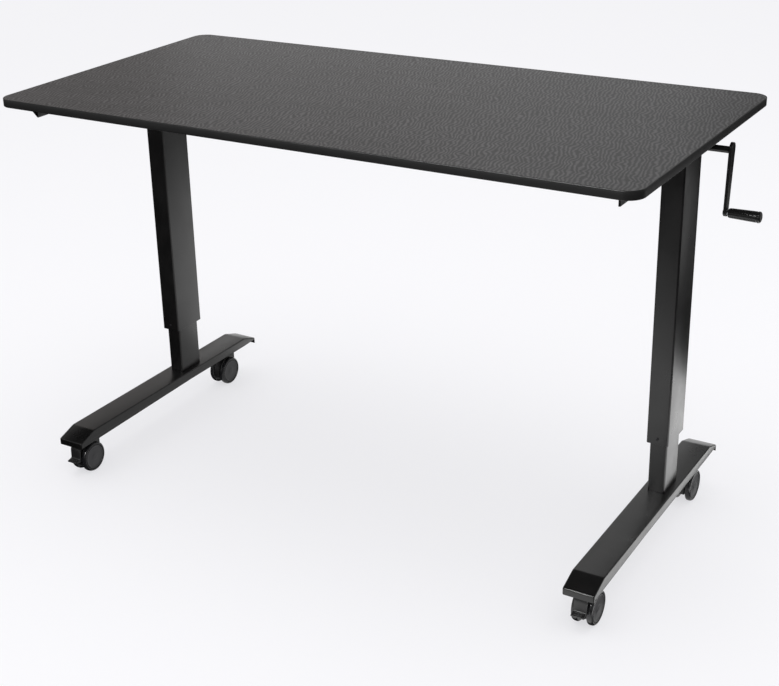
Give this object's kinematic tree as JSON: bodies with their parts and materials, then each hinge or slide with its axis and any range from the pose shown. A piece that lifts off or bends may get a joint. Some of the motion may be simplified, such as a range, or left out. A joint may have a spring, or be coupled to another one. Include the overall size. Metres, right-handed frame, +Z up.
{
  "type": "height adjustable standing desk",
  "caption": "Wide rectangular desk top on telescoping columns raised by a side hand crank, with channel feet on twin-wheel casters.",
  "frame": {"origin": "on the floor, under the middle of the desk's whole bounding box, the crank included, at the height shown", "axes": "+Z up, +X along the desk top to the right of a seated person, towards the crank, +Y from the front edge to the back edge"},
  "size_m": [1.582, 0.749, 0.936],
  "materials": {
    "laminate": "board faced with black melamine laminate with a fine ripple wood grain, satin, with a smooth black edge band",
    "powder_coat": "semi-gloss black powder coat on formed steel, very fine orange peel",
    "zinc_steel": "bright zinc plated steel",
    "cast_zinc": "die cast light alloy, matt",
    "bronze": "machined bronze gear",
    "nylon": "moulded black nylon, fine texture",
    "caster_wheel": "hard black wheel with a dark grey satin dish",
    "grip_plastic": "smooth moulded black handle, semi-gloss"
  },
  "bodies": {
    "base": {"lead_nut_left": "nylon", "inner_column_left": "powder_coat", "column_base_left": "zinc_steel", "foot_left": "powder_coat", "lead_nut_right": "nylon", "inner_column_right": "powder_coat", "column_base_right": "zinc_steel", "foot_right": "powder_coat", "caster_stem_front_left": "zinc_steel", "caster_stem_rear_left": "zinc_steel", "caster_stem_front_right": "zinc_steel", "caster_stem_rear_right": "zinc_steel"},
    "upper": {"tabletop": "laminate", "cross_rail_front": "powder_coat", "cross_rail_rear": "powder_coat", "side_rail_left": "powder_coat", "column_bracket_left": "powder_coat", "outer_column_left": "powder_coat", "glide_bush_left": "nylon", "glide_screw_left": "zinc_steel", "gearbox_left": "cast_zinc", "thrust_bearing_left": "zinc_steel", "side_rail_right": "powder_coat", "column_bracket_right": "powder_coat", "outer_column_right": "powder_coat", "glide_bush_right": "nylon", "glide_screw_right": "zinc_steel", "gearbox_right": "cast_zinc", "thrust_bearing_right": "zinc_steel"},
    "crank": {"crank_shaft": "powder_coat", "crank_arm": "powder_coat", "grip_pin": "zinc_steel", "cross_shaft": "zinc_steel", "drive_gear_left": "bronze", "drive_gear_right": "bronze"},
    "grip": {"crank_grip": "grip_plastic"},
    "screw_left": {"lead_screw_left": "zinc_steel", "screw_gear_left": "bronze"},
    "screw_right": {"lead_screw_right": "zinc_steel", "screw_gear_right": "bronze"},
    "swivel_front_left": {"caster_hood_front_left": "nylon", "caster_axle_front_left": "zinc_steel"},
    "wheel_left_front_left": {"wheel_left_front_left": "caster_wheel"},
    "wheel_right_front_left": {"wheel_right_front_left": "caster_wheel"},
    "brake_front_left": {"brake_pedal_front_left": "nylon"},
    "swivel_rear_left": {"caster_hood_rear_left": "nylon", "caster_axle_rear_left": "zinc_steel"},
    "wheel_left_rear_left": {"wheel_left_rear_left": "caster_wheel"},
    "wheel_right_rear_left": {"wheel_right_rear_left": "caster_wheel"},
    "swivel_front_right": {"caster_hood_front_right": "nylon", "caster_axle_front_right": "zinc_steel"},
    "wheel_left_front_right": {"wheel_left_front_right": "caster_wheel"},
    "wheel_right_front_right": {"wheel_right_front_right": "caster_wheel"},
    "brake_front_right": {"brake_pedal_front_right": "nylon"},
    "swivel_rear_right": {"caster_hood_rear_right": "nylon", "caster_axle_rear_right": "zinc_steel"},
    "wheel_left_rear_right": {"wheel_left_rear_right": "caster_wheel"},
    "wheel_right_rear_right": {"wheel_right_rear_right": "caster_wheel"}
  },
  "joints": [
    {"name": "height_lift", "type": "slide", "parent": "base", "child": "upper", "axis": [0, 0, 1], "range_m": [-0.112, 0.288]},
    {"name": "crank_turn", "type": "hinge", "parent": "upper", "child": "crank", "pos_m": [0.6195, 0.094, 0.89], "axis": [1, 0, 0], "continuous": true},
    {"name": "grip_spin", "type": "hinge", "parent": "crank", "child": "grip", "pos_m": [0.757, 0.08263, 0.76502], "axis": [1, 0, 0], "continuous": true},
    {"name": "screw_left_spin", "type": "hinge", "parent": "upper", "child": "screw_left", "pos_m": [-0.7025, 0.094, 0.6], "axis": [0, 0, 1], "continuous": true},
    {"name": "screw_right_spin", "type": "hinge", "parent": "upper", "child": "screw_right", "pos_m": [0.6195, 0.094, 0.6], "axis": [0, 0, 1], "continuous": true},
    {"name": "swivel_front_left_turn", "type": "hinge", "parent": "base", "child": "swivel_front_left", "pos_m": [-0.7025, -0.282, 0.09], "axis": [0, 0, 1], "continuous": true},
    {"name": "wheel_left_front_left_roll", "type": "hinge", "parent": "swivel_front_left", "child": "wheel_left_front_left", "pos_m": [-0.7025, -0.306, 0.037], "axis": [1, 0, 0], "continuous": true},
    {"name": "wheel_right_front_left_roll", "type": "hinge", "parent": "swivel_front_left", "child": "wheel_right_front_left", "pos_m": [-0.7025, -0.306, 0.037], "axis": [1, 0, 0], "continuous": true},
    {"name": "brake_front_left_press", "type": "hinge", "parent": "swivel_front_left", "child": "brake_front_left", "pos_m": [-0.7025, -0.306, 0.037], "axis": [1, 0, 0], "range_deg": [0, 12]},
    {"name": "swivel_rear_left_turn", "type": "hinge", "parent": "base", "child": "swivel_rear_left", "pos_m": [-0.7025, 0.282, 0.09], "axis": [0, 0, 1], "continuous": true},
    {"name": "wheel_left_rear_left_roll", "type": "hinge", "parent": "swivel_rear_left", "child": "wheel_left_rear_left", "pos_m": [-0.7025, 0.258, 0.037], "axis": [1, 0, 0], "continuous": true},
    {"name": "wheel_right_rear_left_roll", "type": "hinge", "parent": "swivel_rear_left", "child": "wheel_right_rear_left", "pos_m": [-0.7025, 0.258, 0.037], "axis": [1, 0, 0], "continuous": true},
    {"name": "swivel_front_right_turn", "type": "hinge", "parent": "base", "child": "swivel_front_right", "pos_m": [0.6195, -0.282, 0.09], "axis": [0, 0, 1], "continuous": true},
    {"name": "wheel_left_front_right_roll", "type": "hinge", "parent": "swivel_front_right", "child": "wheel_left_front_right", "pos_m": [0.6195, -0.306, 0.037], "axis": [1, 0, 0], "continuous": true},
    {"name": "wheel_right_front_right_roll", "type": "hinge", "parent": "swivel_front_right", "child": "wheel_right_front_right", "pos_m": [0.6195, -0.306, 0.037], "axis": [1, 0, 0], "continuous": true},
    {"name": "brake_front_right_press", "type": "hinge", "parent": "swivel_front_right", "child": "brake_front_right", "pos_m": [0.6195, -0.306, 0.037], "axis": [1, 0, 0], "range_deg": [0, 12]},
    {"name": "swivel_rear_right_turn", "type": "hinge", "parent": "base", "child": "swivel_rear_right", "pos_m": [0.6195, 0.282, 0.09], "axis": [0, 0, 1], "continuous": true},
    {"name": "wheel_left_rear_right_roll", "type": "hinge", "parent": "swivel_rear_right", "child": "wheel_left_rear_right", "pos_m": [0.6195, 0.258, 0.037], "axis": [1, 0, 0], "continuous": true},
    {"name": "wheel_right_rear_right_roll", "type": "hinge", "parent": "swivel_rear_right", "child": "wheel_right_rear_right", "pos_m": [0.6195, 0.258, 0.037], "axis": [1, 0, 0], "continuous": true}
  ],
  "couplings": [
    {"joint": "crank_turn", "follows": "height_lift", "rad_per_m": -785.4},
    {"joint": "screw_left_spin", "follows": "height_lift", "rad_per_m": 785.4},
    {"joint": "screw_right_spin", "follows": "height_lift", "rad_per_m": 785.4}
  ]
}
